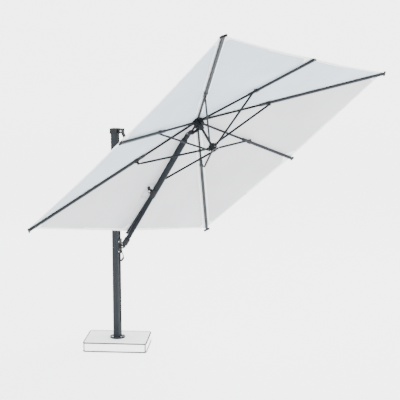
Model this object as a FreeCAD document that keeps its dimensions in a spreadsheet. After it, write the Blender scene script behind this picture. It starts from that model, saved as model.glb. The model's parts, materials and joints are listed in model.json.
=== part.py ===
import FreeCAD, Part
import Sketcher
import math
import os

from FreeCAD import Placement, Rotation, Vector

# Cantilever parasol: a square canopy on a boom that slides and swings on a mast.
# Millimetres, +Z up. The origin is on the ground under the mast's axis, the boom's
# upright plane is XZ, and the canopy is open and leans as it does in use.

os.makedirs("parts", exist_ok=True)
doc = FreeCAD.newDocument("cantilever_parasol")

DIMS = {
    # base and mast
    "slab_width": 710.0, "slab_depth": 500.0, "slab_height": 107.0, "slab_corner": 30.0, "slab_edge": 8.0,
    "flange_radius": 86.0, "flange_height": 14.0, "socket_radius": 31.0, "socket_depth": 85.0,
    "spindle_radius": 25.0, "spindle_play": 0.05, "bolt_circle": 66.0, "bolt_radius": 5.0,
    "mast_width": 78.0, "mast_wall": 4.0, "mast_corner": 12.0, "track_width": 16.0,
    "mast_top": 2500.0, "cap_height": 62.0, "pivot_height": 2480.0, "pivot_reach": 85.0,
    "bolt_head_radius": 8.5, "bolt_head_height": 6.0, "plate_radius": 52.0, "plate_height": 7.5,
    "plate_gap": 0.5, "shaft_length": 84.0, "core_size": 60.0, "core_back": 2.0,
    "track_start": 160.0, "track_end": 40.0, "cap_wall": 5.0, "cap_roof": 6.0, "cap_overhang": 22.0,
    "nose_height": 52.0, "cap_room": 62.0, "tool": 90.0,
    # boom and its linkage
    "boom_length": 1535.0, "boom_radius": 26.0, "boom_wall": 3.0, "boom_play": 0.05,
    "bracket_rise": 50.0, "collar_length": 90.0, "collar_wall": 7.0, "ear_radius": 20.0,
    "heel_length": 75.0, "heel_start": 34.0, "heel_floor": 46.0, "heel_nose": 17.0,
    "boom_start": 50.0, "head_length": 45.0, "head_cheek": 9.0, "plug_length": 22.0,
    "spigot_length": 60.0, "block_length": 44.0, "head_nose": 18.0, "head_gap": 68.0,
    "upper_radius": 34.0, "upper_start": 58.0, "upper_end": 75.0, "upper_ring": 20.0,
    "link_width": 30.0, "link_depth": 26.0, "link_eye": 18.0, "pin_radius": 7.0, "pin_play": 0.06,
    "cheek": 8.0, "cheek_gap": 0.4, "tongue": 24.0,
    # carriage and its lever
    "carriage_thickness": 14.0, "carriage_width": 66.0, "carriage_height": 165.0,
    "carriage_nose": 22.0, "carriage_gap_height": 120.0, "lever_drop": 62.0, "lever_slot": 13.0,
    "lever_slot_height": 60.0, "lever_ear_length": 24.0, "lever_ear_width": 40.0,
    "lever_ear_height": 26.0, "grip_radius": 5.5, "grip_end": 50.0, "shoe_neck": 8.5, "shoe_length": 130.0,
    "shoe_thickness": 10.0, "shoe_width": 40.0,
    # umbrella
    "half_span": 1500.0, "corner_drop": 371.0, "mid_drop": 406.0,
    "root_radius": 48.0, "mid_pivot_drop": 42.0, "mid_tube_drop": 15.0,
    "knuckle_reach": 742.0, "sleeve_start": 655.0,
    "rib_width": 18.0, "rib_height": 20.0, "rib_wall": 2.0,
    "sleeve_width": 30.0, "sleeve_height": 24.0, "sleeve_wall": 1.8,
    "strut_radius": 8.0, "strut_spread": 3.5, "strut_neck": 34.0, "strut_eye": 9.0,
    "strut_plate": 14.0, "strut_side": 26.0,
    "small_pin": 4.0, "small_play": 0.05,
    "hub_radius": 58.0, "hub_core": 34.0, "hub_top": 16.0, "hub_bottom": 58.0, "slot_width": 19.0,
    "post_radius": 14.0, "runner_core": 36.0, "runner_height": 74.0, "runner_lug": 36.0,
    "lug_height": 22.0, "runner_pin": 22.0, "rib_pin": 30.0, "column_radius": 30.0,
    "column_height": 42.0, "arm_length": 112.0, "arm_width": 10.0, "arm_height": 30.0,
    "knee_length": 18.0, "knee_width": 32.0, "knee_forward": 38.0, "lug_length": 50.0, "lug_eye": 19.0,
    "stud_radius": 9.0, "stud_length": 26.0, "disc_radius": 70.0, "disc_height": 5.0,
    "dome_radius": 34.0, "dome_height": 10.0,
    "rib_inner_start": 20.0, "rib_inner_length": 715.0, "rib_corner": 3.0, "sleeve_corner": 4.0,
    "root_eye": 10.0, "root_width": 14.0, "foot_length": 60.0, "shell_length": 44.0, "tab": 3.0,
    "knuckle_pin": 19.0, "corner_cap": 76.0, "mid_cap": 48.0, "cap_length": 16.0,
    "hub_forward": 145.0, "hub_aside": 60.0, "hub_rise": 60.0, "lug_width": 20.0, "head_pin": 6.0,
    "cloth": 2.0, "cloth_peak": 29.0, "cloth_lift": 22.0, "peak_hole": 61.0,
    "slot_length": 350.0, "slot_across": 125.0, "slot_middle": 850.0, "slot_aside": 95.0,
}
BOOM_ANGLE = 58.3      # boom above level
BOOM_ROLL = -16.6      # boom turned about its own length
HUB_ANGLE = 17.6       # boom against the plane of the canopy
STRUT_ANGLE = 12.6     # struts and effective rib line against the plane of the canopy
SLAB_TURN = 19.5       # slab's edges against the boom's plane
CORNERS = {"a": 225.0, "b": 315.0, "c": 45.0, "d": 135.0}
MIDS = {"ab": 270.0, "bc": 0.0, "cd": 90.0, "da": 180.0}

sheet = doc.addObject("Spreadsheet::Sheet", "dims")
for row, (alias, value) in enumerate(DIMS.items(), start=1):
    sheet.set(f"A{row}", alias)
    sheet.set(f"B{row}", str(value))
    sheet.setAlias(f"B{row}", alias)
doc.recompute()

nodes = []
THROUGH = 400.0        # a cutting tool that goes right through what it meets
ORIGIN = Vector(0, 0, 0)
ALONG_X = Rotation(Vector(0, 0, 1), Vector(1, 0, 0))
ALONG_Y = Rotation(Vector(0, 0, 1), Vector(0, 1, 0))
UPRIGHT = Rotation()


def dim(alias):
    """A driving dimension's value, read back from the sheet."""
    return float(sheet.get(alias))


def put(obj, prop, value):
    """Set a size: a text is a formula over the sheet, a number is taken as it is."""
    if isinstance(value, str):
        obj.setExpression(prop, value)
    else:
        setattr(obj, prop, value)


def fork_width():
    """Over the two cheeks of a fork that holds the link."""
    return dim("link_width") + 2 * (dim("cheek") + dim("cheek_gap"))


def moved(x=0.0, y=0.0, z=0.0, rotation=UPRIGHT):
    return Placement(Vector(x, y, z), rotation)


def box(name, length, width, height, middle, rotation=UPRIGHT):
    """A block with its middle at a point."""
    obj = doc.addObject("Part::Box", name)
    for prop, value in (("Length", length), ("Width", width), ("Height", height)):
        put(obj, prop, value)
    doc.recompute([obj])
    half = Vector(obj.Length.Value / 2, obj.Width.Value / 2, obj.Height.Value / 2)
    obj.Placement = Placement(Vector(*middle), rotation) * Placement(-half, Rotation())
    return obj


def rod(name, radius, height, middle, rotation=UPRIGHT):
    """A round bar with its middle at a point, along Z unless it is turned."""
    obj = doc.addObject("Part::Cylinder", name)
    put(obj, "Radius", radius)
    put(obj, "Height", height)
    doc.recompute([obj])
    turned = Placement(Vector(*middle), rotation)
    obj.Placement = turned * Placement(Vector(0, 0, -obj.Height.Value / 2), Rotation())
    return obj


def fuse(name, shapes):
    obj = doc.addObject("Part::MultiFuse", name)
    obj.Shapes = shapes
    obj.Refine = True
    return obj


def cut(name, base, tools):
    tool = tools[0] if len(tools) == 1 else fuse(name + "_tools", tools)
    obj = doc.addObject("Part::Cut", name)
    obj.Base = base
    obj.Tool = tool
    return obj


def group(name, shapes):
    """Separate solids that share one node."""
    obj = doc.addObject("Part::Compound", name)
    obj.Links = shapes
    return obj


def node(label, obj, placement=Placement()):
    """Name a finished piece and put it in its place."""
    obj.Label = label
    obj.Placement = placement * obj.Placement
    nodes.append((label, obj))
    return obj


def new_body(name):
    return doc.addObject("PartDesign::Body", name)


def new_sketch(body, name, role):
    sketch = body.newObject("Sketcher::SketchObject", name)
    plane = next(f for f in body.Origin.OriginFeatures if f.Role == role)
    sketch.AttachmentSupport = [(plane, "")]
    sketch.MapMode = "FlatFace"
    return sketch


def draw_rectangle(sketch, width, height):
    """A rectangle about the sketch's origin with its two sizes bound to the sheet."""
    points = [Vector(x, y, 0) for x, y in ((-10, -8), (10, -8), (10, 8), (-10, 8))]
    first = sketch.GeometryCount
    for i in range(4):
        sketch.addGeometry(Part.LineSegment(points[i], points[(i + 1) % 4]), False)
    for i in range(4):
        sketch.addConstraint(Sketcher.Constraint("Coincident", first + i, 2, first + (i + 1) % 4, 1))
    for i, kind in enumerate(("Horizontal", "Vertical", "Horizontal", "Vertical")):
        sketch.addConstraint(Sketcher.Constraint(kind, first + i))
    sketch.addConstraint(Sketcher.Constraint("Symmetric", first, 1, first + 2, 1, -1, 1))
    for edge, kind, value in ((first, "DistanceX", width), (first + 1, "DistanceY", height)):
        n = sketch.addConstraint(Sketcher.Constraint(kind, edge, 1, edge, 2, 10.0))
        sketch.setExpression(f"Constraints[{n}]", value)


def draw_circle(sketch, radius):
    """A circle about the sketch's origin with its radius bound to the sheet."""
    n = sketch.addGeometry(Part.Circle(ORIGIN, Vector(0, 0, 1), 5.0), False)
    sketch.addConstraint(Sketcher.Constraint("Coincident", n, 3, -1, 1))
    c = sketch.addConstraint(Sketcher.Constraint("Radius", n, 5.0))
    sketch.setExpression(f"Constraints[{c}]", radius)


def pad(body, sketch, name, length):
    feature = body.newObject("PartDesign::Pad", name)
    feature.Profile = sketch
    put(feature, "Length", length)
    sketch.Visibility = False
    doc.recompute()
    return feature


def fillet_edges(body, base, name, radius, wanted):
    """Round the edges of the last feature that a test picks out."""
    picked = [f"Edge{n}" for n, edge in enumerate(base.Shape.Edges, start=1) if wanted(edge)]
    feature = body.newObject("PartDesign::Fillet", name)
    feature.Base = (base, picked)
    put(feature, "Radius", radius)
    doc.recompute()
    return feature


def runs_along(edge, axis):
    straight = edge.Curve.TypeId == "Part::GeomLine"
    return straight and abs(edge.tangentAt(edge.FirstParameter).dot(axis)) > 0.999


def square_tube(name, width, height, wall, length, corner):
    """A hollow section that runs from its own origin along X."""
    body = new_body(name)
    outline = new_sketch(body, name + "_outline", "YZ_Plane")
    draw_rectangle(outline, f"dims.{width}", f"dims.{height}")
    bar = pad(body, outline, name + "_bar", length)
    rounded = fillet_edges(body, bar, name + "_corners", corner,
                           lambda e: runs_along(e, Vector(1, 0, 0)))
    hollow = new_sketch(body, name + "_hollow", "YZ_Plane")
    draw_rectangle(hollow, f"dims.{width} - 2 * dims.{wall}", f"dims.{height} - 2 * dims.{wall}")
    bore = body.newObject("PartDesign::Pocket", name + "_bore")
    bore.Profile = hollow
    bore.Type = "ThroughAll"
    bore.Midplane = True
    doc.recompute()
    assert bore.Shape.Volume < rounded.Shape.Volume
    body.Tip = bore
    return body


# Places that the driving dimensions give.
theta = math.radians(BOOM_ANGLE)
hinge_top = Vector(dim("pivot_reach"), 0, dim("pivot_height"))
hinge_low = hinge_top - Vector(0, 0, dim("boom_length") * math.sin(theta))
# The bracket's pivot is as far from the top hinge as from the carriage's pin, so that the
# carriage stays on the mast while the link and the boom swing.
half_fall = (hinge_top.z - hinge_low.z) / 2
bracket_along = (half_fall - dim("bracket_rise") * math.cos(theta)) / math.sin(theta)
link_length = math.hypot(bracket_along, dim("bracket_rise"))
link_angle = math.degrees(theta + math.atan2(dim("bracket_rise"), bracket_along))

boom_still = Placement(hinge_low, Rotation(Vector(0, 1, 0), -BOOM_ANGLE))
boom_rolled = boom_still * Placement(ORIGIN, Rotation(Vector(1, 0, 0), BOOM_ROLL))
boom_end = boom_rolled * moved(dim("boom_length"), 0, 0, Rotation(Vector(0, 1, 0), HUB_ANGLE))
umbrella = boom_end * moved(dim("hub_forward"), dim("hub_aside"), dim("hub_rise"))
link_frame = Placement(hinge_top, Rotation(Vector(0, 1, 0), link_angle))

alpha = math.radians(STRUT_ANGLE)
knuckle_drop = dim("knuckle_reach") * math.tan(alpha)
strut_length = math.hypot(dim("knuckle_reach"), knuckle_drop)


def rib_frame(turn, pivot_drop):
    """A rib's own frame: origin at its root pin, X outward, Z up from the canopy."""
    spoke = umbrella * Placement(ORIGIN, Rotation(Vector(0, 0, 1), turn))
    return spoke * moved(dim("root_radius"), 0, -pivot_drop)


def make_base():
    body = new_body("slab")
    outline = new_sketch(body, "slab_outline", "XY_Plane")
    draw_rectangle(outline, "dims.slab_width", "dims.slab_depth")
    block = pad(body, outline, "slab_block", "dims.slab_height")
    rounded = fillet_edges(body, block, "slab_corners", "dims.slab_corner",
                           lambda e: runs_along(e, Vector(0, 0, 1)))
    softened = fillet_edges(body, rounded, "slab_edges", "dims.slab_edge",
                            lambda e: e.BoundBox.ZMin > dim("slab_height") - 0.01)
    mouth = new_sketch(body, "slab_mouth", "XY_Plane")
    draw_circle(mouth, "dims.socket_radius")
    well = body.newObject("PartDesign::Pocket", "slab_well")
    well.Profile = mouth
    well.Type = "ThroughAll"
    well.Midplane = True
    doc.recompute()
    assert well.Shape.Volume < softened.Shape.Volume
    body.Tip = well
    node("base_slab", body, Placement(ORIGIN, Rotation(Vector(0, 0, 1), SLAB_TURN)))

    top = dim("slab_height")
    flange_mid = top + dim("flange_height") / 2
    tube_mid = top - dim("socket_depth") / 2
    flange = rod("flange_disc", "dims.flange_radius", "dims.flange_height", (0, 0, flange_mid))
    tube = rod("socket_tube", "dims.socket_radius", "dims.socket_depth", (0, 0, tube_mid))
    bore = rod("socket_bore", "dims.spindle_radius + dims.spindle_play", THROUGH, (0, 0, top))
    spots = [Vector(dim("bolt_circle"), 0, 0), Vector(0, dim("bolt_circle"), 0)]
    spots += [-spot for spot in spots]
    holes = [rod(f"bolt_hole_{n}", "dims.bolt_radius", THROUGH, (spot.x, spot.y, flange_mid))
             for n, spot in enumerate(spots)]
    turn = Placement(ORIGIN, Rotation(Vector(0, 0, 1), SLAB_TURN + 45))
    socket = fuse("socket_solid", [flange, tube])
    node("base_socket", cut("socket", socket, [bore] + holes), turn)

    head_mid = top + dim("flange_height") + dim("bolt_head_height") / 2
    bolts = []
    for n, spot in enumerate(spots):
        shank = rod(f"bolt_shank_{n}", "dims.bolt_radius", "dims.flange_height",
                    (spot.x, spot.y, flange_mid))
        head = rod(f"bolt_head_{n}", "dims.bolt_head_radius", "dims.bolt_head_height",
                   (spot.x, spot.y, head_mid))
        bolts.append(fuse(f"bolt_{n}", [shank, head]))
    node("socket_bolts", group("bolts", bolts), turn)


def make_mast():
    foot = dim("slab_height") + dim("flange_height")
    lift = foot + dim("plate_gap") + dim("plate_height")
    plate = rod("foot_plate", "dims.plate_radius", "dims.plate_height",
                (0, 0, lift - dim("plate_height") / 2))
    shaft = rod("foot_shaft", "dims.spindle_radius", "dims.shaft_length",
                (0, 0, lift - dim("shaft_length") / 2))
    core = box("foot_core", "dims.core_size", "dims.core_size", "dims.core_size",
               (-dim("core_back"), 0, lift + dim("core_size") / 2))
    node("mast_spindle", fuse("spindle", [plate, shaft, core]))

    length = dim("mast_top") - lift
    tube = square_tube("mast", "mast_width", "mast_width", "mast_wall", length, "dims.mast_corner")
    tube.Placement = moved(0, 0, lift, Rotation(Vector(0, 1, 0), -90))
    face = dim("mast_width") / 2
    track = length - dim("track_start") - dim("track_end")
    slot = box("mast_slot", 5 * dim("mast_wall"), "dims.track_width", track,
               (face, 0, lift + dim("track_start") + track / 2))
    node("mast_profile", cut("mast_with_slot", tube, [slot]))

    top = dim("mast_top")
    reach, level = dim("pivot_reach"), dim("pivot_height")
    roof_top = top + dim("cap_roof")
    shell = box("cap_shell", "dims.mast_width + 2 * dims.cap_wall", "dims.mast_width + 2 * dims.cap_wall",
                "dims.cap_height", (0, 0, roof_top - dim("cap_height") / 2))
    room = box("cap_room", "dims.mast_width", "dims.mast_width", "dims.cap_height",
               (0, 0, top - dim("cap_height") / 2))
    hollow = cut("cap_hollow", shell, [room])
    width = fork_width()
    back, front = face + dim("cap_wall") - 1, reach + dim("cap_overhang")
    nose = box("cap_nose", front - back, width, "dims.nose_height",
               ((back + front) / 2, 0, roof_top - dim("nose_height") / 2))
    gap = box("cap_gap", "dims.cap_room", "dims.link_width + 2 * dims.cheek_gap", "dims.tool",
              (reach + 2, 0, level - 4))
    pin_hole = rod("cap_pin_hole", "dims.pin_radius", "dims.tool", (reach, 0, level), ALONG_Y)
    roof = box("cap_roof_plate", front - back, width, "dims.cap_roof",
               ((back + front) / 2, 0, top + dim("cap_roof") / 2))
    fork = cut("cap_fork", nose, [gap])
    node("mast_cap", cut("cap", fuse("cap_solid", [hollow, fork, roof]), [pin_hole]))
    node("mast_head_pin", rod("head_pin_rod", "dims.pin_radius", width, (reach, 0, level), ALONG_Y))


def make_link():
    eyes, holes = [], []
    for n, at in enumerate((0, link_length)):
        eyes.append(rod(f"link_eye_{n}", "dims.link_eye", "dims.link_width", (at, 0, 0), ALONG_Y))
        holes.append(rod(f"link_hole_{n}", "dims.pin_radius + dims.pin_play", "dims.tool",
                         (at, 0, 0), ALONG_Y))
    bar = box("link_bar", link_length, "dims.link_width", "dims.link_depth", (link_length / 2, 0, 0))
    node("link_arm", cut("link", fuse("link_solid", eyes + [bar]), holes), link_frame)


def make_boom():
    rise = dim("bracket_rise")
    outer = "dims.boom_radius + dims.collar_wall"
    running = "dims.boom_radius + dims.boom_play"
    width = fork_width()

    ring = rod("collar_ring", outer, "dims.collar_length", (bracket_along, 0, 0), ALONG_X)
    block = box("collar_block", "2 * dims.ear_radius", width, rise, (bracket_along, 0, rise / 2))
    ears = rod("collar_ears", "dims.ear_radius", width, (bracket_along, 0, rise), ALONG_Y)
    gap_floor = rise - dim("link_eye") - 1.5
    room = box("collar_gap", "dims.tool", "dims.link_width + 2 * dims.cheek_gap", "dims.tool",
               (bracket_along, 0, gap_floor + dim("tool") / 2))
    bore = rod("collar_bore", running, THROUGH, (bracket_along, 0, 0), ALONG_X)
    pin_hole = rod("collar_pin_hole", "dims.pin_radius", "dims.tool", (bracket_along, 0, rise), ALONG_Y)
    open_fork = cut("collar_fork", fuse("collar_solid", [ring, block, ears]), [room])
    node("boom_collar", cut("collar", open_fork, [bore, pin_hole]), boom_still)
    pin = rod("collar_pin_rod", "dims.pin_radius", width, (bracket_along, 0, rise), ALONG_Y)
    node("collar_pin", pin, boom_still)

    start, floor = dim("heel_start"), dim("heel_floor")
    cup = rod("heel_cup", outer, "dims.heel_length", (start + dim("heel_length") / 2, 0, 0), ALONG_X)
    seat = rod("heel_seat", running, THROUGH, (floor + THROUGH / 2, 0, 0), ALONG_X)
    tongue = box("heel_tongue", start + 6, "dims.tongue", "2 * dims.heel_nose", ((start + 6) / 2, 0, 0))
    nose = rod("heel_nose_round", "dims.heel_nose", "dims.tongue", (0, 0, 0), ALONG_Y)
    eye = rod("heel_eye", "dims.pin_radius + dims.pin_play", "dims.tool", (0, 0, 0), ALONG_Y)
    node("boom_heel", cut("heel", fuse("heel_solid", [cup, tongue, nose]), [seat, eye]), boom_still)

    body = new_body("boom")
    outline = new_sketch(body, "boom_outline", "YZ_Plane")
    draw_circle(outline, "dims.boom_radius")
    bar = pad(body, outline, "boom_bar", "dims.boom_length - dims.boom_start - dims.head_length")
    hollow = new_sketch(body, "boom_hollow", "YZ_Plane")
    draw_circle(hollow, "dims.boom_radius - dims.boom_wall")
    lumen = body.newObject("PartDesign::Pocket", "boom_bore")
    lumen.Profile = hollow
    lumen.Type = "ThroughAll"
    lumen.Midplane = True
    doc.recompute()
    assert lumen.Shape.Volume < bar.Shape.Volume
    body.Tip = lumen
    upper_low = bracket_along + dim("upper_start") - dim("boom_start")
    upper_high = dim("boom_length") - dim("upper_end") - dim("boom_start")
    sleeve = rod("boom_upper", "dims.upper_radius", upper_high - upper_low,
                 ((upper_low + upper_high) / 2, 0, 0), ALONG_X)
    room = rod("boom_upper_bore", "dims.boom_radius - 1", upper_high - upper_low + THROUGH,
               ((upper_low + upper_high) / 2, 0, 0), ALONG_X)
    hollow_low = upper_low + dim("upper_ring")
    hollow = rod("boom_upper_hollow", "dims.upper_radius - dims.boom_wall", THROUGH + upper_high - hollow_low,
                 ((hollow_low + upper_high + THROUGH) / 2, 0, 0), ALONG_X)
    ring = rod("boom_upper_ring", "dims.upper_radius", "dims.upper_ring",
               (upper_high - dim("upper_ring") / 2, 0, 0), ALONG_X)
    shell = fuse("boom_upper_shell", [cut("boom_upper_skin", sleeve, [hollow]), ring])
    tube = fuse("boom_stepped", [body, cut("boom_upper_tube", shell, [room])])
    node("boom_tube", tube, boom_rolled * moved(dim("boom_start"), 0, 0))

    end = dim("boom_length")
    lug = dim("lug_width") + 2 * dim("cheek_gap")
    outside = lug + 2 * dim("head_cheek")
    plug_mid = end - dim("head_length") + dim("plug_length") / 2
    spigot_mid = end - dim("head_length") + 1 - dim("spigot_length") / 2
    plug = rod("head_plug", "dims.boom_radius", "dims.plug_length", (plug_mid, 0, 0), ALONG_X)
    spigot = rod("head_spigot", "dims.boom_radius - dims.boom_wall", "dims.spigot_length",
                 (spigot_mid, 0, 0), ALONG_X)
    block = box("head_block", "dims.block_length", outside, "2 * dims.head_nose",
                (end - dim("block_length") / 2, 0, 0))
    nose = rod("head_nose_round", "dims.head_nose", outside, (end, 0, 0), ALONG_Y)
    gap = box("head_gap_tool", "dims.head_gap", lug, "dims.tool", (end + 4, 0, 0))
    hole = rod("head_hole", "dims.head_pin", "dims.tool", (end, 0, 0), ALONG_Y)
    head = fuse("head_solid", [plug, spigot, block, nose])
    node("boom_head", cut("head", head, [gap, hole]), boom_rolled)
    node("tilt_pin", rod("tilt_pin_rod", "dims.head_pin", outside, (end, 0, 0), ALONG_Y), boom_rolled)


def make_carriage():
    face = dim("mast_width") / 2
    here = moved(0, 0, hinge_low.z)
    reach = dim("pivot_reach")
    outside = dim("tongue") + 2 * (dim("cheek") + dim("cheek_gap"))
    thick = dim("carriage_thickness")
    lever_x, lever_z = face + thick, -dim("lever_drop")
    plate = box("carriage_plate", thick, "dims.carriage_width", "dims.carriage_height",
                (face + 0.5 + thick / 2, 0, 0))
    arms = box("carriage_arms", reach - lever_x, outside, "2 * dims.carriage_nose",
               ((reach + lever_x) / 2, 0, 0))
    nose = rod("carriage_nose_round", "dims.carriage_nose", outside, (reach, 0, 0), ALONG_Y)
    gap = box("carriage_gap", THROUGH, "dims.tongue + 2 * dims.cheek_gap", "dims.carriage_gap_height",
              (lever_x + 1 + THROUGH / 2, 0, 0))
    hole = rod("carriage_hole", "dims.pin_radius", "dims.tool", (reach, 0, 0), ALONG_Y)
    ears = box("lever_ears", "dims.lever_ear_length", "dims.lever_ear_width", "dims.lever_ear_height",
               (lever_x, 0, lever_z))
    lever_slot = box("lever_slot_tool", "dims.tool", "dims.lever_slot", "dims.lever_slot_height",
                     (face + 3 + dim("tool") / 2, 0, lever_z - 6))
    lever_hole = rod("lever_hole", "dims.small_pin", "dims.tool", (lever_x, 0, lever_z), ALONG_Y)
    fork = cut("carriage_fork", fuse("carriage_solid", [plate, arms, nose, ears]), [gap])
    node("carriage_body", cut("carriage", fork, [hole, lever_slot, lever_hole]), here)
    pins = [rod("carriage_pin_rod", "dims.pin_radius", outside, (reach, 0, 0), ALONG_Y),
            rod("lever_pin_rod", "dims.small_pin", "dims.lever_ear_width", (lever_x, 0, lever_z), ALONG_Y)]
    node("carriage_pins", group("carriage_pin_group", pins), here)

    inside = face - dim("mast_wall")
    neck = box("shoe_neck", "dims.shoe_neck", "dims.track_width - 1", "dims.shoe_length",
               (inside - dim("mast_wall") + dim("shoe_neck") / 2, 0, 0))
    slider = box("shoe_block", "dims.shoe_thickness", "dims.shoe_width", "dims.shoe_length",
                 (inside - 1 - dim("shoe_thickness") / 2, 0, 0))
    node("carriage_shoe", fuse("shoe", [neck, slider]), here)

    # The curved grip hangs from its pin, swings out and clamps the shoe against the track.
    grip_end = Vector(22, 0, -86)
    eye = rod("lever_eye", 9.0, "dims.lever_slot - 1", (0, 0, 0), ALONG_Y)
    bend = Part.Arc(ORIGIN, Vector(31, 0, -38), grip_end).toShape()
    path = doc.addObject("Part::Feature", "lever_path")
    path.Shape = Part.Wire([bend])
    profile = doc.addObject("Part::Feature", "lever_profile")
    start = bend.tangentAt(bend.FirstParameter)
    profile.Shape = Part.Wire([Part.Circle(ORIGIN, start, dim("grip_radius")).toShape()])
    grip = doc.addObject("Part::Sweep", "lever_grip")
    grip.Sections = [profile]
    grip.Spine = (path, ["Edge1"])
    grip.Solid = True
    grip.Frenet = True
    finish = bend.tangentAt(bend.LastParameter)
    end = rod("lever_end", "2 * dims.grip_radius", "dims.grip_end", grip_end,
              Rotation(Vector(0, 0, 1), finish))
    hole = rod("lever_bore", "dims.small_pin + dims.small_play", "dims.tool", (0, 0, 0), ALONG_Y)
    lever = cut("lever", fuse("lever_solid", [eye, grip, end]), [hole])
    node("lock_lever", lever, here * moved(lever_x, 0, lever_z))


def slots(prefix, width, bottom, top):
    """Eight radial slots for the rib roots."""
    tall = top - bottom
    cuts = []
    for turn in range(0, 360, 45):
        spoke = Rotation(Vector(0, 0, 1), turn)
        middle = spoke.multVec(Vector(dim("hub_core") + dim("tool") / 2, 0, (top + bottom) / 2))
        cuts.append(box(f"{prefix}_{turn}", "dims.tool", width, tall, tuple(middle), spoke))
    return cuts


def ring_of_pins(prefix, radius, length, side, corner_level, mid_level):
    """Eight small pins across their spokes, at one level for corners and one for mids."""
    pins = []
    for turn in range(0, 360, 45):
        spoke = Rotation(Vector(0, 0, 1), turn)
        level = mid_level if turn % 90 == 0 else corner_level
        middle = spoke.multVec(Vector(dim("root_radius"), side, level))
        pins.append(rod(f"{prefix}_{turn}", radius, length, tuple(middle), spoke * ALONG_Y))
    return pins


def make_crown():
    top, bottom = dim("hub_top"), -dim("hub_bottom")
    mid_level = -dim("mid_pivot_drop")
    core = rod("hub_core_rod", "dims.hub_radius", "dims.hub_top + dims.hub_bottom",
               (0, 0, (top + bottom) / 2))
    clear = slots("hub_slot", "dims.slot_width", bottom - 10, top + 10)
    holes = ring_of_pins("hub_hole", "dims.small_pin", "dims.rib_pin", 0.0, 0.0, mid_level)
    node("crown_hub", cut("hub", core, clear + holes), umbrella)
    rib_pins = ring_of_pins("rib_pin", "dims.small_pin", "dims.rib_pin", 0.0, 0.0, mid_level)
    node("rib_pins", group("rib_pin_group", rib_pins), umbrella)

    low = bottom - dim("column_height")
    arm_level = (low + bottom) / 2 - 1
    column = rod("bracket_column", "dims.column_radius", "dims.column_height", (0, 0, (low + bottom) / 2))
    aside = math.degrees(math.atan2(-dim("hub_aside"), -dim("hub_forward")))
    out = Rotation(Vector(0, 0, 1), aside)
    pin_at = Vector(-dim("hub_forward"), -dim("hub_aside"), -dim("hub_rise"))
    arm = box("bracket_arm", "dims.arm_length", "dims.arm_width", "dims.arm_height",
              tuple(out.multVec(Vector(dim("arm_length") / 2 + 4, 0, arm_level))), out)
    knee = box("bracket_knee", "dims.knee_length", "dims.knee_width", "dims.arm_height",
               (pin_at.x + dim("knee_forward"), pin_at.y + 6, arm_level))
    lug = box("bracket_lug", "dims.lug_length", "dims.lug_width", "2 * dims.lug_eye - 4",
              (pin_at.x + dim("lug_length") / 2 - 2, pin_at.y, pin_at.z - 2))
    eye = rod("bracket_eye", "dims.lug_eye", "dims.lug_width", tuple(pin_at), ALONG_Y)
    hole = rod("bracket_hole", "dims.head_pin + dims.small_play", "dims.tool", tuple(pin_at), ALONG_Y)
    solid = fuse("bracket_solid", [column, arm, knee, lug, eye])
    node("hub_bracket", cut("bracket", solid, [hole]), umbrella)

    post_end = -2 * knuckle_drop + 6
    post = rod("post", "dims.post_radius", low - post_end, (0, 0, (low + post_end) / 2))
    node("centre_post", post, umbrella)

    cloth_top = dim("cloth_peak") + dim("cloth")
    stud = rod("finial_stud", "dims.stud_radius", "dims.stud_length", (0, 0, top + dim("stud_length") / 2))
    disc = rod("finial_disc", "dims.disc_radius", "dims.disc_height",
               (0, 0, cloth_top + 1 + dim("disc_height") / 2))
    dome = rod("finial_dome", "dims.dome_radius", "dims.dome_height",
               (0, 0, cloth_top + 4 + dim("dome_height") / 2))
    node("crown_finial", fuse("finial", [stud, disc, dome]), umbrella)


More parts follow.
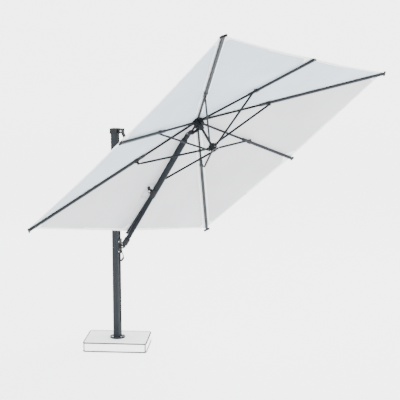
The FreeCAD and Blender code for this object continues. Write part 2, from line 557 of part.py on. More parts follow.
def make_ribs():
    span = dim("half_span")
    kinds = [(name, turn, 0.0, 0.0, span * math.sqrt(2), dim("corner_drop"))
             for name, turn in CORNERS.items()]
    kinds += [(name, turn, dim("mid_pivot_drop"), dim("mid_tube_drop"), span, dim("mid_drop"))
              for name, turn in MIDS.items()]
    side = -dim("strut_side")
    for name, turn, pivot_drop, tube_drop, tip, tip_drop in kinds:
        frame = rib_frame(turn, pivot_drop)
        rise = pivot_drop - tube_drop
        reach = tip - dim("root_radius")
        slope = math.degrees(math.atan2(tip_drop - tube_drop, reach))
        along = moved(0, 0, rise, Rotation(Vector(0, 1, 0), slope))
        length = math.hypot(reach, tip_drop - tube_drop)

        tube = square_tube(f"rib_{name}", "rib_width", "rib_height", "rib_wall",
                           dim("rib_inner_length"), "dims.rib_corner")
        tube.Placement = along * moved(dim("rib_inner_start"), 0, 0)
        eye = rod(f"root_eye_{name}", "dims.root_eye", "dims.root_width", (0, 0, 0), ALONG_Y)
        web = box(f"root_web_{name}", 18.0, "dims.root_width", rise + 18.0, (3, 0, rise / 2))
        spigot = box(f"root_spigot_{name}", 60.0, "dims.rib_width - 2 * dims.rib_wall - 0.4",
                     "dims.rib_height - 2 * dims.rib_wall - 0.4", tuple(along.multVec(Vector(30, 0, 0))),
                     along.Rotation)
        hole = rod(f"root_hole_{name}", "dims.small_pin + dims.small_play", "dims.tool", (0, 0, 0), ALONG_Y)
        root = cut(f"root_{name}", fuse(f"root_solid_{name}", [eye, web, spigot]), [hole])
        foot_mid = along.multVec(Vector(dim("sleeve_start") + dim("foot_length") / 2 + 18, 0, 0))
        foot = box(f"foot_{name}", "dims.foot_length", "dims.sleeve_width - 2 * dims.sleeve_wall",
                   "dims.sleeve_height - 2 * dims.sleeve_wall", tuple(foot_mid), along.Rotation)
        node(f"rib_{name}_inner", fuse(f"inner_{name}", [tube, root, foot]), frame)

        sleeve = square_tube(f"sleeve_{name}", "sleeve_width", "sleeve_height", "sleeve_wall",
                             length - dim("sleeve_start"), "dims.sleeve_corner")
        node(f"rib_{name}_outer", sleeve, frame * along * moved(dim("sleeve_start"), 0, 0))

        knuckle = Vector(dim("knuckle_reach"), 0, -knuckle_drop)
        seat = along.inverse().multVec(knuckle)
        shell = box(f"shell_{name}", "dims.shell_length", "dims.sleeve_width + 2 * dims.tab",
                    "dims.sleeve_height + 2 * dims.tab", (seat.x, 0, 0))
        room = box(f"shell_room_{name}", "dims.tool", "dims.sleeve_width", "dims.sleeve_height",
                   (seat.x, 0, 0))
        tab_side = -(dim("sleeve_width") + dim("tab")) / 2
        tab = box(f"tab_{name}", 26.0, "dims.tab", max(0.0, -seat.z) + dim("sleeve_height"),
                  (seat.x, tab_side, seat.z / 2))
        pin = rod(f"knuckle_pin_{name}", "dims.small_pin", dim("knuckle_pin"),
                  (seat.x, side + 1.5, seat.z), ALONG_Y)
        clamp = fuse(f"clamp_{name}", [cut(f"shell_cut_{name}", shell, [room]), tab, pin])
        cap_width = "dims.corner_cap" if pivot_drop == 0 else "dims.mid_cap"
        cap = box(f"tip_cap_{name}", "dims.cap_length", cap_width, "dims.rib_height",
                  (length + dim("cap_length") / 2, 0, 0))
        node(f"rib_{name}_fittings", group(f"fittings_{name}", [clamp, cap]), frame * along)

        turned_back = Rotation(Vector(0, 1, 0), 180 - STRUT_ANGLE)
        bar = rod(f"strut_bar_{name}", "dims.strut_radius", strut_length - 12,
                  (strut_length / 2, side, 0), ALONG_X)
        flat = box(f"strut_flat_{name}", strut_length - 2 * dim("strut_neck"), "2 * dims.strut_radius",
                   "2 * dims.strut_spread", (strut_length / 2, side, 0))
        backs = [rod(f"strut_back_{name}_{n}", "dims.strut_radius", strut_length - 2 * dim("strut_neck"),
                     (strut_length / 2, side, level), ALONG_X)
                 for n, level in enumerate((-dim("strut_spread"), dim("strut_spread")))]
        eyes, bores = [], []
        for n, at in enumerate((0, strut_length)):
            eyes.append(rod(f"strut_eye_{name}_{n}", "dims.strut_eye", "dims.strut_plate",
                            (at, side, 0), ALONG_Y))
            bores.append(rod(f"strut_hole_{name}_{n}", "dims.small_pin + dims.small_play", "dims.tool",
                             (at, side, 0), ALONG_Y))
        strut = cut(f"strut_cut_{name}", fuse(f"strut_solid_{name}", eyes + [bar, flat] + backs), bores)
        node(f"strut_{name}", strut, frame * moved(knuckle.x, 0, knuckle.z, turned_back))


def make_runner():
    corner_level = -2 * knuckle_drop
    mid_level = corner_level - dim("mid_pivot_drop")
    middle = (corner_level + mid_level) / 2
    core = rod("runner_core_rod", "dims.runner_core", "dims.runner_height", (0, 0, middle))
    lugs = []
    for turn in range(0, 360, 45):
        spoke = Rotation(Vector(0, 0, 1), turn)
        level = mid_level if turn % 90 == 0 else corner_level
        at = spoke.multVec(Vector(dim("root_radius") - 6, -14.5, level))
        lugs.append(box(f"runner_lug_{turn}", "dims.runner_lug", "dims.strut_plate / 2", "dims.lug_height",
                        tuple(at), spoke))
    bore = rod("runner_bore", "dims.post_radius + dims.cheek_gap", THROUGH, (0, 0, middle))
    side = 3 - dim("strut_side")
    holes = ring_of_pins("runner_hole", "dims.small_pin", "dims.runner_pin", side, corner_level, mid_level)
    pins = ring_of_pins("runner_pin_rod", "dims.small_pin", "dims.runner_pin", side, corner_level, mid_level)
    node("runner", cut("runner_cut", fuse("runner_solid", [core] + lugs), [bore] + holes), umbrella)
    node("runner_pins", group("runner_pin_group", pins), umbrella)


def make_canopy():
    """A thin closed roof of eight triangles with a hole at its peak and a slot for the link."""
    span, lift, peak = dim("half_span"), dim("cloth_lift"), dim("cloth_peak")
    corner = lift - dim("corner_drop")
    mid = lift - dim("mid_drop")
    rim = []
    for turn in range(0, 360, 45):
        a = math.radians(turn)
        reach = span if turn % 90 == 0 else span * math.sqrt(2)
        rim.append(Vector(reach * math.cos(a), reach * math.sin(a), mid if turn % 90 == 0 else corner))
    up = Vector(0, 0, dim("cloth"))
    centre = Vector(0, 0, peak)
    faces = []
    for n in range(8):
        a, b = rim[n], rim[(n + 1) % 8]
        faces.append(Part.Face(Part.makePolygon([centre, a, b, centre])))
        faces.append(Part.Face(Part.makePolygon([centre + up, a + up, b + up, centre + up])))
        faces.append(Part.Face(Part.makePolygon([a, b, b + up, a + up, a])))
    roof = doc.addObject("Part::Feature", "roof")
    roof.Shape = Part.makeSolid(Part.makeShell(faces))
    hole = rod("peak_hole_rod", "dims.peak_hole", THROUGH, (0, 0, peak))
    slot = box("link_slot", "dims.slot_length", "dims.slot_across", THROUGH,
               (-dim("slot_middle"), -dim("slot_aside"), -THROUGH / 2))
    node("canopy", cut("canopy_cut", roof, [hole, slot]), umbrella)


make_base()
make_mast()
make_link()
make_boom()
make_carriage()
make_crown()
make_ribs()
make_runner()
make_canopy()
doc.recompute()

faults = [f"{obj.Name}: {obj.State}" for obj in doc.Objects if "Invalid" in obj.State or "Error" in obj.State]
for label, obj in nodes:
    if obj.Shape.isNull() or not obj.Shape.isValid() or not obj.Shape.Solids:
        faults.append(f"{label}: bad shape")
if faults:
    raise RuntimeError("; ".join(faults))
for label, obj in nodes:
    obj.Shape.exportStep(f"parts/{label}.step")
print(f"{len(nodes)} nodes")
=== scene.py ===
import json
import math

import bpy
import numpy as np
from mathutils import Matrix, Vector


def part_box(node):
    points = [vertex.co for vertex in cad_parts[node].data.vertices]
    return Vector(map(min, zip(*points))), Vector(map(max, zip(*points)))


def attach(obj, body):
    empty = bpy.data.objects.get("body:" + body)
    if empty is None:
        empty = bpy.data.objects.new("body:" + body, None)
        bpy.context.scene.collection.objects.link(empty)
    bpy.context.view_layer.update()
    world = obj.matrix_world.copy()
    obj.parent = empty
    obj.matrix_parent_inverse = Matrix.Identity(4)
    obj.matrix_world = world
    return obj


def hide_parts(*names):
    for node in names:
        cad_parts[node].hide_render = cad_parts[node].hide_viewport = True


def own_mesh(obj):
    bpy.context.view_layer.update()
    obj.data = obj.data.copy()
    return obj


# Cantilever parasol. Metres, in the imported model's own frame.

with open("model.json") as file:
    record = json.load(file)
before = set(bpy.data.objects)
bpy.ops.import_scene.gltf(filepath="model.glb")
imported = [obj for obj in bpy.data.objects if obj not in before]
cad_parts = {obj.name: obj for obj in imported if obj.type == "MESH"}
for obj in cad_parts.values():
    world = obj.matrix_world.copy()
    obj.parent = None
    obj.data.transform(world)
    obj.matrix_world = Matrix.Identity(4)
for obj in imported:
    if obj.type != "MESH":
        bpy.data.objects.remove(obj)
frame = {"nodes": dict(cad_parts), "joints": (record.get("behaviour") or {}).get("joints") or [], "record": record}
nodes = frame["nodes"]
joints = {joint["name"]: joint for joint in frame["joints"]}
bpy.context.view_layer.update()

RIBS = ("bc", "c", "cd", "d", "da", "a", "ab", "b")   # anticlockwise seen from above
RIB_STEP = 45.0                  # degrees from one rib to the next
CORNERS = ("a", "b", "c", "d")
OPENING_RIB = "da"               # the link passes through the cloth over this rib

PANEL_GRID = (36, 44)            # columns across a panel and rows down it
OPENING_GRID = (80, 150)         # the same for the panel with the opening
PEAK_HOLE = 0.03                 # the cloth starts this far from the middle
SCALLOP = 0.012                  # how far the edge is pulled in between two tips
SAG = 0.016                      # how far the cloth hangs between two ribs
SAG_SHAPE = 1.4                  # the nearer to 1, the more of the sag is high up
GATHER = 0.0022                  # height of the small folds round the peak
GATHER_FADE = 0.10               # share of the way down at which they are largest
GATHER_WAVES = 10                # half waves between two ribs
RIPPLE = 0.0016                  # height of the ripples along the edge
RIPPLE_POWER = 6                 # how quickly they fade away from the edge
RIPPLE_WAVES = 14                # half waves between two ribs

HEM_WIDTH = 0.032
HEM_LIFT = 0.0016                # half the thickness of the hem at its two sides
HEM_FULLNESS = 1.3               # how many times thicker it is half way
HEM_ROUND = 1.0014               # where its rounded edge ends, as a share of the way down
TAPE_HALF = 0.046                # half the width of the white tape sewn under each corner rib
TAPE_RUN = (0.10, 0.975)         # where the tape starts and ends, as shares of the way down
TAPE_DROP = 0.0018               # how far it lies under the cloth
POCKET_RUN = (0.93, 0.998)
POCKET_DROP = 0.0030
POCKET_REACH = 0.10              # half its width at the edge, as a share of the way to the next rib
POCKET_POINT = 0.91              # where its slanting sides would meet
POCKET_TAPER = 0.09              # from there to the edge
OPENING_SIDES = 48
OPENING_SQUARENESS = 6           # 2 would be an ellipse
SLEEVE_HALF = Vector((0.021, 0.024))     # half the sleeve's size where it meets the link

SCREW_SIDES = 24
SCREW_RISE = 0.6                 # a head's height as a share of its radius
SCREW_PROFILE = ((1.0, 0.0), (1.0, 0.4), (0.8, 0.85), (0.45, 1.0), (0.4, 1.0), (0.38, 0.45))
DRIVE_FLOOR = (0.0001, 0.4)      # radius in metres and share of the height at the drive's middle
HEAD_BEVEL = 0.0004
CARRIAGE_SCREW = 0.0055          # radii of the heads
PIN_HEAD = 0.011
SCREW_INSET = 0.007              # from the carriage's edge to its screws
SCREW_HEIGHTS = (-0.057, 0.057)  # from the carriage's middle
SIDES = (("near", -1), ("far", 1))

CORNER_SIGNS = ((1, 1), (-1, 1), (-1, -1), (1, -1))
SLAB_CORNER = 0.030              # radius of the slab's corners in plan
BEAD = 0.0065                    # radius of the dark beads along its edges, which paint shade lines
BEAD_BELOW_TOP = 0.004
BEAD_OFF_FLOOR = 0.0005
BEAD_STEPS = 12                  # steps round a corner

CAMERA_TURN = math.radians(23.749)      # the camera's heading against the boom's plane
CAMERA_DOWN = math.radians(9.6225)
CAMERA_ASIDE, CAMERA_BACK, CAMERA_HEIGHT = 0.9431, 12.0359, 3.7384
LENS, SENSOR = 98.03, 36.0       # millimetres

FLOOR_RADIUS, COVE_RADIUS, WALL_HEIGHT = 34.0, 12.0, 44.0
FLOOR_SIDES, COVE_STEPS = 96, 16
FLOOR_HOLE = 0.01
FLOOR_DROP = 0.002               # keeps the floor clear of the slab's underside
BACKDROP_GLOW = 2.9
WORLD_STRENGTH = 1.1
LIGHT_SIZE = 3.0
LIGHT_TARGET = (0.9, -0.3, 2.6)  # in the canopy, before the turn to the camera's heading


# ---------------------------------------------------------------- materials

class Nodes:
    """A material's node tree with short ways to add and join nodes."""

    def __init__(self, name):
        self.material = bpy.data.materials.new(name)
        self.material.use_nodes = True
        self.tree = self.material.node_tree
        self.shader = self.tree.nodes["Principled BSDF"]
        self.output = self.tree.nodes["Material Output"]

    def add(self, kind, **values):
        """A new node; a value sets a property, or else the socket of that name (_ for a space)."""
        made = self.tree.nodes.new(kind)
        for key, value in values.items():
            if hasattr(made, key):
                setattr(made, key, value)
            else:
                made.inputs[key.replace("_", " ")].default_value = value
        return made

    def link(self, source, target):
        self.tree.links.new(source, target)

    def surface(self, **values):
        """Constants on the shader's own sockets, named as in add."""
        for key, value in values.items():
            self.shader.inputs[key.replace("_", " ")].default_value = value

    def place(self, scale):
        """Object coordinates, stretched by three factors."""
        coordinates = self.add("ShaderNodeTexCoord")
        mapping = self.add("ShaderNodeMapping", Scale=scale)
        self.link(coordinates.outputs["Object"], mapping.inputs["Vector"])
        return mapping.outputs["Vector"]

    def grain(self, where, scale, detail=4.0):
        """Noise over the given coordinates."""
        noise = self.add("ShaderNodeTexNoise", Scale=scale, Detail=detail)
        self.link(where, noise.inputs["Vector"])
        return noise.outputs["Fac"]

    def spread(self, value, low, high, most=1.0):
        """0 where the value is at low, rising to most at high."""
        made = self.add("ShaderNodeMapRange", From_Min=low, From_Max=high, To_Max=most)
        self.link(value, made.inputs["Value"])
        return made.outputs["Result"]

    def between(self, factor, low, high, first, second):
        """Two colours mixed where a grain goes from low to high."""
        mix = self.add("ShaderNodeMix", data_type="RGBA", A=(*first, 1.0), B=(*second, 1.0))
        self.link(self.spread(factor, low, high), mix.inputs["Factor"])
        return mix.outputs["Result"]

    def overlay(self, factor, colour, tint, blend="MIX"):
        """A constant tint laid over a colour by a factor."""
        mix = self.add("ShaderNodeMix", data_type="RGBA", blend_type=blend, B=(*tint, 1.0))
        self.link(factor, mix.inputs["Factor"])
        self.link(colour, mix.inputs["A"])
        return mix.outputs["Result"]

    def bump(self, height, strength, distance, over=None):
        """A bumped normal, on top of another one if that is given."""
        made = self.add("ShaderNodeBump", Strength=strength, Distance=distance)
        self.link(height, made.inputs["Height"])
        if over is not None:
            self.link(over, made.inputs["Normal"])
        return made.outputs["Normal"]


def powder_coat():
    """Anthracite powder coat: a fine orange peel, with a painted highlight that makes sharp edges lighter."""
    m = Nodes("anthracite_powder_coat")
    where = m.place((1, 1, 1))
    dust = m.grain(where, scale=6.0)
    colour = m.between(dust, 0.35, 0.7, (0.0050, 0.0068, 0.0088), (0.0085, 0.0110, 0.0138))
    # Painted highlight: convex edges, found by pointiness, are tinted lighter.
    pointiness = m.add("ShaderNodeNewGeometry").outputs["Pointiness"]
    edge_highlight_share = m.spread(pointiness, 0.54, 0.64)
    edge_highlighted = m.overlay(edge_highlight_share, colour, tint=(0.020, 0.024, 0.028))
    m.link(edge_highlighted, m.shader.inputs["Base Color"])
    m.surface(Specular_IOR_Level=0.07, Roughness=0.46)
    peel = m.bump(m.grain(where, scale=900.0), strength=0.10, distance=0.0003)
    m.link(peel, m.shader.inputs["Normal"])
    return m.material


def matte_surface(name, dark, light, roughness, grain_scale):
    """Plastic, stone, and the slab's painted shade lines: a fine grain and a slightly uneven colour."""
    m = Nodes(name)
    where = m.place((1, 1, 1))
    colour = m.between(m.grain(where, scale=9.0), 0.35, 0.68, dark, light)
    m.link(colour, m.shader.inputs["Base Color"])
    m.surface(Specular_IOR_Level=0.15, Roughness=roughness)
    grain = m.bump(m.grain(where, grain_scale, detail=6.0), strength=0.3, distance=0.0005)
    m.link(grain, m.shader.inputs["Normal"])
    return m.material


def plain_steel():
    """Stainless steel with fine scratches."""
    m = Nodes("stainless_steel")
    where = m.place((40, 40, 900))
    colour = m.between(m.grain(where, scale=8.0), 0.3, 0.7, (0.42, 0.43, 0.44), (0.62, 0.63, 0.64))
    m.link(colour, m.shader.inputs["Base Color"])
    m.surface(Metallic=1.0, Roughness=0.3)
    scratches = m.bump(m.grain(where, scale=20.0), strength=0.2, distance=0.0002)
    m.link(scratches, m.shader.inputs["Normal"])
    return m.material


def painted_cool_light_half(m, flat, colour, strength):
    """Painted light: the half of the canopy on rib b's side of the diagonal is tinted a cooler, lighter grey, as
    if a cool light fell on it.
    """
    places = m.add("ShaderNodeSeparateXYZ")
    m.link(flat, places.inputs["Vector"])
    side = m.add("ShaderNodeMath", operation="SUBTRACT")
    m.link(places.outputs["X"], side.inputs[0])
    m.link(places.outputs["Y"], side.inputs[1])
    share = m.spread(side.outputs["Value"], -0.02, 0.02, most=strength)
    return m.overlay(share, colour, tint=(0.90, 1.05, 1.13), blend="MULTIPLY")


def woven_cloth(name, dark, light, glow, cool=0.0):
    """Solution-dyed polyester: a plain weave, faint blotches, and light that comes through; where cool is set,
    painted cool light on one half.
    """
    m = Nodes(name)
    flat = m.add("ShaderNodeTexCoord").outputs["UV"]
    colour = m.between(m.grain(flat, scale=1.6, detail=5.0), 0.3, 0.7, dark, light)
    # cool is the strength of the painted cool light on one half of the canopy.
    if cool:
        colour = painted_cool_light_half(m, flat, colour, cool)
    m.link(colour, m.shader.inputs["Base Color"])
    m.surface(Roughness=0.85, Sheen_Weight=0.25)
    weave = m.add("ShaderNodeMath", operation="MULTIPLY")
    for n, direction in enumerate(("X", "Y")):
        threads = m.add("ShaderNodeTexWave", bands_direction=direction, Scale=320.0, Distortion=0.6)
        m.link(flat, threads.inputs["Vector"])
        m.link(threads.outputs["Fac"], weave.inputs[n])
    creases = m.bump(m.grain(flat, scale=3.2, detail=3.0), strength=0.35, distance=0.012)
    fine = m.bump(weave.outputs["Value"], strength=0.25, distance=0.0004, over=creases)
    m.link(fine, m.shader.inputs["Normal"])
    through = m.add("ShaderNodeBsdfTranslucent")
    m.link(colour, through.inputs["Color"])
    m.link(fine, through.inputs["Normal"])
    mixed = m.add("ShaderNodeMixShader", Fac=glow)
    m.link(m.shader.outputs["BSDF"], mixed.inputs[1])
    m.link(through.outputs["BSDF"], mixed.inputs[2])
    m.link(mixed.outputs["Shader"], m.output.inputs["Surface"])
    return m.material


FRAME_PAINT = powder_coat()
BLACK_PLASTIC = matte_surface("black_nylon", (0.005, 0.006, 0.007), (0.010, 0.011, 0.012),
                              roughness=0.5, grain_scale=700.0)
PALE_STONE = matte_surface("pale_cast_stone", (0.88, 0.88, 0.88), (0.93, 0.93, 0.93),
                           roughness=0.6, grain_scale=350.0)
# Near-black material for the beads that paint shade along the slab's edges and its contact shadow.
SLAB_EDGE_SHADE = matte_surface("slab_edge_shade", (0.003, 0.003, 0.003), (0.006, 0.006, 0.006),
                            roughness=0.8, grain_scale=900.0)
STEEL = plain_steel()
# cool=1.0: the cloth gets painted cool light on the half towards rib b.
CLOTH = woven_cloth("grey_cloth", (0.43, 0.435, 0.45), (0.50, 0.505, 0.52), glow=0.42, cool=1.0)
TAPE = woven_cloth("white_tape", (0.84, 0.85, 0.86), (0.90, 0.91, 0.92), glow=0.3)
SLOT_MATERIALS = {"frame_paint": FRAME_PAINT, "black_plastic": BLACK_PLASTIC, "steel_pins": STEEL,
                  "canopy_cloth": CLOTH, "slab": PALE_STONE}


def paint_frame():
    """Every CAD node takes the material of its record slot."""
    for part in frame["record"]["subparts"]:
        mesh = nodes[part["node"]].data
        mesh.materials.clear()
        mesh.materials.append(SLOT_MATERIALS[part["material_slot"]])


# ---------------------------------------------------------------- making objects

def link_object(name, data):
    made = bpy.data.objects.new(name, data)
    bpy.context.scene.collection.objects.link(made)
    return made


def spaced(low, high, count):
    """Evenly spaced values, both ends included, with count steps between them."""
    return [low + (high - low) * n / count for n in range(count + 1)]


def grid_faces(rows, count, closed):
    """Four-sided faces for rows of count points each; closed joins the last point to the first."""
    faces = []
    for i in range(rows - 1):
        for j in range(count if closed else count - 1):
            beside = (j + 1) % count
            faces.append((i * count + j, i * count + beside, (i + 1) * count + beside, (i + 1) * count + j))
    return faces


def smooth_object(name, vertices, faces, material):
    mesh = bpy.data.meshes.new(name)
    mesh.from_pydata([tuple(v) for v in vertices], [], faces)
    mesh.materials.append(material)
    for face in mesh.polygons:
        face.use_smooth = True
    return link_object(name, mesh)


def turned(profile, sides):
    """The points of a profile of (radius, height) turned round Z, ring by ring."""
    points = []
    for radius, height in profile:
        for n in range(sides):
            angle = 2 * math.pi * n / sides
            points.append(Vector((radius * math.cos(angle), radius * math.sin(angle), height)))
    return points


# ---------------------------------------------------------------- the canopy's own frame

def rib_root(rib):
    return Vector(joints[f"rib_{rib}_root"]["pos_m"])


def canopy_frame():
    """Origin at the middle of the hub, X towards rib bc, Y towards rib cd, Z out of the canopy."""
    x_axis = (rib_root("bc") - rib_root("da")).normalized()
    y_axis = (rib_root("cd") - rib_root("ab")).normalized()
    made = Matrix((x_axis, y_axis, x_axis.cross(y_axis))).transposed().to_4x4()
    made.translation = sum((rib_root(rib) for rib in CORNERS), Vector()) / len(CORNERS)
    return made


HUB = canopy_frame()
LINK_PIVOT = HUB.inverted() @ Vector(joints["boom_lean"]["pos_m"])


def roof_heights():
    """Half the canopy's width, and the heights of its peak, mid tips and corner tips."""
    back = np.array(HUB.inverted())
    points = np.array([v.co for v in nodes["canopy"].data.vertices]) @ back[:3, :3].T + back[:3, 3]
    x, y, z = points.T
    half = x.max()
    at_corner = np.abs(x) + np.abs(y) > 1.99 * half      # it is 2 half widths at a corner
    on_mid_line = (x > 0) & (np.abs(y) < 0.01)
    at_mid_tip = on_mid_line & (x > 0.99 * half)
    corner, mid = z[at_corner].min(), z[at_mid_tip].min()
    mid_line = points[on_mid_line]
    near = mid_line[mid_line[:, 0].argmin()]
    slope = (near[2] - mid) / (half - near[0])
    return half, near[2] + slope * near[0], mid, corner


HALF, PEAK, MID_TIP, CORNER_TIP = roof_heights()


def tip(index):
    """Where the cloth ends over rib number index, in the canopy's frame."""
    angle = math.radians(RIB_STEP * index)
    is_corner = index % 2 == 1
    reach = HALF * math.sqrt(2) if is_corner else HALF
    return Vector((reach * math.cos(angle), reach * math.sin(angle), CORNER_TIP if is_corner else MID_TIP))


def cloth_point(index, across, down, lift=0.0):
    """A point of the sheet between rib index (across 0) and the next (across 1), peak 0 to edge 1."""
    edge = tip(index).lerp(tip(index + 1), across)
    middle = 4.0 * across * (1.0 - across)      # 0 at both ribs, 1 half way between them
    inward = Vector((edge.x, edge.y, 0)).normalized()
    edge -= inward * SCALLOP * middle
    point = Vector((edge.x * down, edge.y * down, PEAK * (1 - down) + edge.z * down))
    point.z -= SAG * middle * down * (SAG_SHAPE - down)
    near_peak = math.exp(-down / GATHER_FADE)
    gather = GATHER * near_peak * math.sin(GATHER_WAVES * math.pi * across) * down / GATHER_FADE
    ripple = RIPPLE * down ** RIPPLE_POWER * math.sin(RIPPLE_WAVES * math.pi * across) * middle
    point.z += gather + ripple + lift
    return point


def around(rib, spread):
    """Sector and share for a place beside a rib.

    The spread goes from -0.5, half way to one neighbour, to 0.5, half way to the other.
    """
    index = RIBS.index(rib)
    if spread >= 0:
        return index, spread
    return (index - 1) % len(RIBS), 1.0 + spread


def panel_point(rib, spread, down, lift=0.0):
    index, across = around(rib, spread)
    return cloth_point(index, across, down, lift)


def panel_row(rib, down, columns, lift=0.0):
    """A row across a panel, from half way to one neighbour to half way to the other."""
    return [panel_point(rib, spread, down, lift) for spread in spaced(-0.5, 0.5, columns)]


# ---------------------------------------------------------------- the canopy

def grid_object(name, rows, material, skip=None, closed=False):
    """A smooth sheet through rows of points in the canopy's frame, laid out flat in its UV map."""
    points = [point for row in rows for point in row]
    faces = grid_faces(len(rows), len(rows[0]), closed)
    if skip:
        faces = [face for face in faces if not skip(points[face[0]].lerp(points[face[2]], 0.5))]
    made = smooth_object(name, [HUB @ point for point in points], faces, material)
    flat = made.data.uv_layers.new(name="flat")
    for loop in made.data.loops:
        flat.data[loop.index].uv = points[loop.vertex_index].xy
    return made


def fold_with(piece, rib):
    """The piece rides on its rib and gets a mesh of its own."""
    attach(piece, f"rib_{rib}")
    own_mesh(piece)
    return piece


def link_opening():
    """Left, right, front and back of the opening for the link, in the canopy's frame."""
    return LINK_PIVOT.x - 0.110, LINK_PIVOT.x + 0.060, LINK_PIVOT.y - 0.052, LINK_PIVOT.y + 0.046


OPENING = link_opening()


def in_opening(point):
    left, right, front, back = OPENING
    return left < point.x < right and front < point.y < back


def cloth_panel(rib):
    """The cloth from half way to one neighbour to half way to the other."""
    has_opening = rib == OPENING_RIB
    columns, depth = OPENING_GRID if has_opening else PANEL_GRID
    downs = [PEAK_HOLE / HALF + (1 - PEAK_HOLE / HALF) * share for share in spaced(0, 1, depth)]
    rows = [panel_row(rib, down, columns) for down in downs]
    return fold_with(grid_object(f"cloth_{rib}", rows, CLOTH, in_opening if has_opening else None), rib)


def cloth_hem(rib):
    """The turned edge: a thin fold round the cloth's end, fullest half way along its width."""
    inner = 1.0 - HEM_WIDTH / tip(RIBS.index(rib)).length
    full = (0.5 + inner / 2, HEM_LIFT * HEM_FULLNESS)
    upper = [(inner, HEM_LIFT), full, (1.0, HEM_LIFT)]
    lower = [(down, -lift) for down, lift in reversed(upper)]
    profile = upper + [(HEM_ROUND, 0.0)] + lower
    rows = [panel_row(rib, down, PANEL_GRID[0], lift) for down, lift in profile]
    return fold_with(grid_object(f"hem_{rib}", rows, TAPE), rib)


def rib_tape(rib):
    """The tape sewn along the seam under a corner rib."""
    edge = (tip(1) - tip(0)).length
    rows = []
    for down in spaced(*TAPE_RUN, 40):
        rows.append([panel_point(rib, side / (edge * down) * math.sqrt(2), down, -TAPE_DROP)
                     for side in spaced(-TAPE_HALF, TAPE_HALF, 6)])
    return fold_with(grid_object(f"tape_{rib}", rows, TAPE), rib)


def tip_pocket(rib):
    """The doubled patch that holds the cloth on a rib's end."""
    rows = []
    for down in spaced(*POCKET_RUN, 8):
        reach = POCKET_REACH * (down - POCKET_POINT) / POCKET_TAPER
        rows.append([panel_point(rib, side, down, -POCKET_DROP) for side in spaced(-reach, reach, 8)])
    return fold_with(grid_object(f"pocket_{rib}", rows, TAPE), rib)


def opening_binding():
    """The bound edge of the opening, and a cloth sleeve from it to the link."""
    left, right, front, back = OPENING
    middle = Vector(((left + right) / 2, (front + back) / 2))
    edge = Vector(((right - left) / 2, (back - front) / 2))
    # centre, half size and height over the cloth of each ring, from the binding's outside to the sleeve's end
    rings = [(middle, edge + Vector((0.012, 0.012)), -0.003),
             (middle, edge - Vector((0.004, 0.004)), -0.002),
             (middle.lerp(LINK_PIVOT.xy, 0.6), edge.lerp(SLEEVE_HALF, 0.6), 0.004),
             (LINK_PIVOT.xy, SLEEVE_HALF, 0.010),
             (LINK_PIVOT.xy, SLEEVE_HALF, 0.022)]
    rows = []
    for centre, half, lift in rings:
        row = []
        for angle in spaced(0, 2 * math.pi, OPENING_SIDES)[:-1]:
            c, s = math.cos(angle), math.sin(angle)
            power = OPENING_SQUARENESS
            round_off = (abs(c) ** power + abs(s) ** power) ** (-1 / power)
            x = centre.x + half.x * c * round_off
            y = centre.y + half.y * s * round_off
            point = cloth_point(RIBS.index(OPENING_RIB), abs(y) / abs(x), abs(x) / HALF, lift)
            row.append(Vector((x, y, point.z)))
        rows.append(row)
    return fold_with(grid_object("opening_binding", rows, CLOTH, closed=True), OPENING_RIB)


def make_canopy():
    """Eight cloth panels with their trims, which stand for the CAD canopy."""
    for rib in RIBS:
        panel = cloth_panel(rib)
        trims = [cloth_hem(rib), tip_pocket(rib)]
        is_corner = rib in CORNERS
        if is_corner:
            trims.append(rib_tape(rib))
        if rib == OPENING_RIB:
            trims.append(opening_binding())
    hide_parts("canopy")


# ---------------------------------------------------------------- small metal and base details

def lathe(name, profile, centre, axis, material, body):
    """A turned piece: a profile of (radius, height) round an axis."""
    turn = Vector((0, 0, 1)).rotation_difference(Vector(axis)).to_matrix()
    vertices = [Vector(centre) + turn @ point for point in turned(profile, SCREW_SIDES)]
    made = smooth_object(name, vertices, grid_faces(len(profile), SCREW_SIDES, True), material)
    bevel = made.modifiers.new("edges", "BEVEL")
    bevel.width = HEAD_BEVEL
    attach(made, body)
    return made


def screw_head(name, centre, axis, radius, body):
    """A domed head with a hollow drive."""
    rise = radius * SCREW_RISE
    profile = [(radius * across, rise * up) for across, up in SCREW_PROFILE]
    profile.append((DRIVE_FLOOR[0], rise * DRIVE_FLOOR[1]))
    lathe(name, profile, centre, axis, STEEL, body)


def make_screws():
    """Screws on the carriage and heads on the ends of the two large pins, on both sides."""
    low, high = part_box("carriage_body")
    middle_z = (low.z + high.z) / 2
    for side, sign in SIDES:
        y = low.y if sign < 0 else high.y
        for n, rise in enumerate(SCREW_HEIGHTS):
            screw_head(f"carriage_screw_{n}_{side}", (low.x + SCREW_INSET, y, middle_z + rise), (0, sign, 0),
                       CARRIAGE_SCREW, "carriage")
    for node, body in (("mast_head_pin", "mast"), ("collar_pin", "boom_sleeves")):
        low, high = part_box(node)
        centre = (low + high) / 2
        for side, sign in SIDES:
            y = low.y if sign < 0 else high.y
            screw_head(f"{node}_head_{side}", (centre.x, y, centre.z), (0, sign, 0), PIN_HEAD, body)


def rounded_ring(half_width, half_depth, corner, count):
    """Points round a rectangle with rounded corners, about the origin, anticlockwise."""
    points = []
    for quarter, (x_sign, y_sign) in enumerate(CORNER_SIGNS):
        middle = Vector((x_sign * (half_width - corner), y_sign * (half_depth - corner), 0))
        for n in range(count + 1):
            angle = math.pi / 2 * (quarter + n / count)
            points.append(middle + corner * Vector((math.cos(angle), math.sin(angle), 0)))
    return points


def painted_shade_bead(name, points, closed):
    """A dark bead along a line on the slab: a painted shade line."""
    curve = bpy.data.curves.new(name, "CURVE")
    curve.dimensions = "3D"
    curve.bevel_depth = BEAD
    curve.bevel_resolution = 3
    line = curve.splines.new("POLY")
    line.points.add(len(points) - 1)
    for spot, point in zip(line.points, points):
        spot.co = (*point, 1.0)
    line.use_cyclic_u = closed
    curve.materials.append(SLAB_EDGE_SHADE)
    made = link_object(name, curve)
    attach(made, "base")


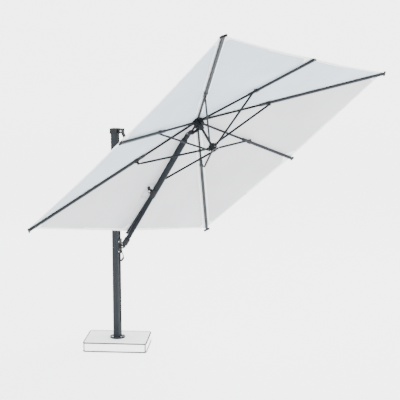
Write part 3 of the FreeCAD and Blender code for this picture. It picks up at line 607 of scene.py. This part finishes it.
def slab_outline():
    """The slab's turn about Z, its half width and half depth, and the height of its top."""
    points = np.array([v.co for v in nodes["base_slab"].data.vertices])

    def halves(degree):
        angle = math.radians(degree)
        along = points[:, 0] * math.cos(angle) + points[:, 1] * math.sin(angle)
        across = points[:, 1] * math.cos(angle) - points[:, 0] * math.sin(angle)
        return float(np.abs(along).max()), float(np.abs(across).max())

    # the turn at which the box round the slab is smallest, to a tenth of a degree
    tenths = min(range(0, 900), key=lambda n: halves(n / 10)[0] * halves(n / 10)[1])
    return math.radians(tenths / 10), *halves(tenths / 10), float(points[:, 2].max())


def make_slab_shade_lines():
    """Dark beads along the slab's edges and foot: painted shade lines, and a painted contact shadow on the floor.
    """
    turn_angle, half_width, half_depth, top = slab_outline()
    turn = Matrix.Rotation(turn_angle, 3, "Z")
    upper = top - BEAD_BELOW_TOP
    outline = rounded_ring(half_width, half_depth, SLAB_CORNER, BEAD_STEPS)
    # Painted shade: the top ring darkens the slab's upper edge, and the bottom ring lies on the floor as a painted
    # contact shadow.
    for name, height in (("top", upper), ("bottom", BEAD + BEAD_OFF_FLOOR)):
        ring = [turn @ point + Vector((0, 0, height)) for point in outline]
        painted_shade_bead(f"base_bead_{name}", ring, True)
    inset = SLAB_CORNER * (1 - math.cos(math.pi / 4))
    # Painted shade: upright lines darken the slab's corners.
    for n, (x_sign, y_sign) in enumerate(CORNER_SIGNS):
        spot = turn @ Vector((x_sign * (half_width - inset), y_sign * (half_depth - inset), 0))
        painted_shade_bead(f"base_bead_corner_{n}", [spot + Vector((0, 0, BEAD)), spot + Vector((0, 0, upper))], False)


# ---------------------------------------------------------------- studio

def make_floor():
    """A round pale floor that curves up into a wall, both glowing evenly."""
    run = [(FLOOR_HOLE, 0.0), (FLOOR_RADIUS, 0.0)]
    for angle in spaced(0, math.pi / 2, COVE_STEPS)[1:]:
        run.append((FLOOR_RADIUS + COVE_RADIUS * math.sin(angle), COVE_RADIUS * (1 - math.cos(angle))))
    run.append((FLOOR_RADIUS + COVE_RADIUS, WALL_HEIGHT))
    pale = Nodes("pale_floor")
    pale.surface(Base_Color=(0.55, 0.55, 0.55, 1.0), Roughness=1.0, Emission_Color=(1.0, 1.0, 1.0, 1.0),
                 Emission_Strength=BACKDROP_GLOW)
    floor = smooth_object("floor", turned(run, FLOOR_SIDES), grid_faces(len(run), FLOOR_SIDES, True),
                          pale.material)
    floor.location.z = -FLOOR_DROP


def make_world():
    world = bpy.data.worlds.new("studio")
    world.use_nodes = True
    background = world.node_tree.nodes["Background"]
    background.inputs["Color"].default_value = (0.93, 0.95, 1.0, 1.0)
    background.inputs["Strength"].default_value = WORLD_STRENGTH
    bpy.context.scene.world = world


def soft_light(name, place, power, colour):
    """A square light aimed at the canopy; its place turns with the camera."""
    turn = Matrix.Rotation(CAMERA_TURN, 3, "Z")
    lamp = bpy.data.lights.new(name, "AREA")
    lamp.size = LIGHT_SIZE
    lamp.energy = power
    lamp.color = colour
    made = link_object(name, lamp)
    made.location = turn @ Vector(place)
    aim = turn @ Vector(LIGHT_TARGET) - made.location
    made.rotation_euler = aim.to_track_quat("-Z", "Y").to_euler()


def make_camera():
    """The camera stands in front and to the right, and looks slightly down past the mast."""
    right = Vector((math.cos(CAMERA_TURN), math.sin(CAMERA_TURN), 0))
    ahead = Vector((-math.sin(CAMERA_TURN), math.cos(CAMERA_TURN), 0))
    data = bpy.data.cameras.new("camera")
    data.sensor_width = SENSOR
    data.lens = LENS
    camera = link_object("camera", data)
    camera.location = right * CAMERA_ASIDE - ahead * CAMERA_BACK + Vector((0, 0, CAMERA_HEIGHT))
    look = ahead * math.cos(CAMERA_DOWN) - Vector((0, 0, math.sin(CAMERA_DOWN)))
    camera.rotation_euler = look.to_track_quat("-Z", "Y").to_euler()
    bpy.context.scene.camera = camera


paint_frame()
make_canopy()
make_screws()
make_slab_shade_lines()
make_floor()
make_world()
soft_light("key", (6.0, 3.0, 7.5), 900.0, (1.0, 0.98, 0.95))
soft_light("cool", (-5.0, 6.0, 0.8), 260.0, (0.62, 0.82, 1.0))
make_camera()
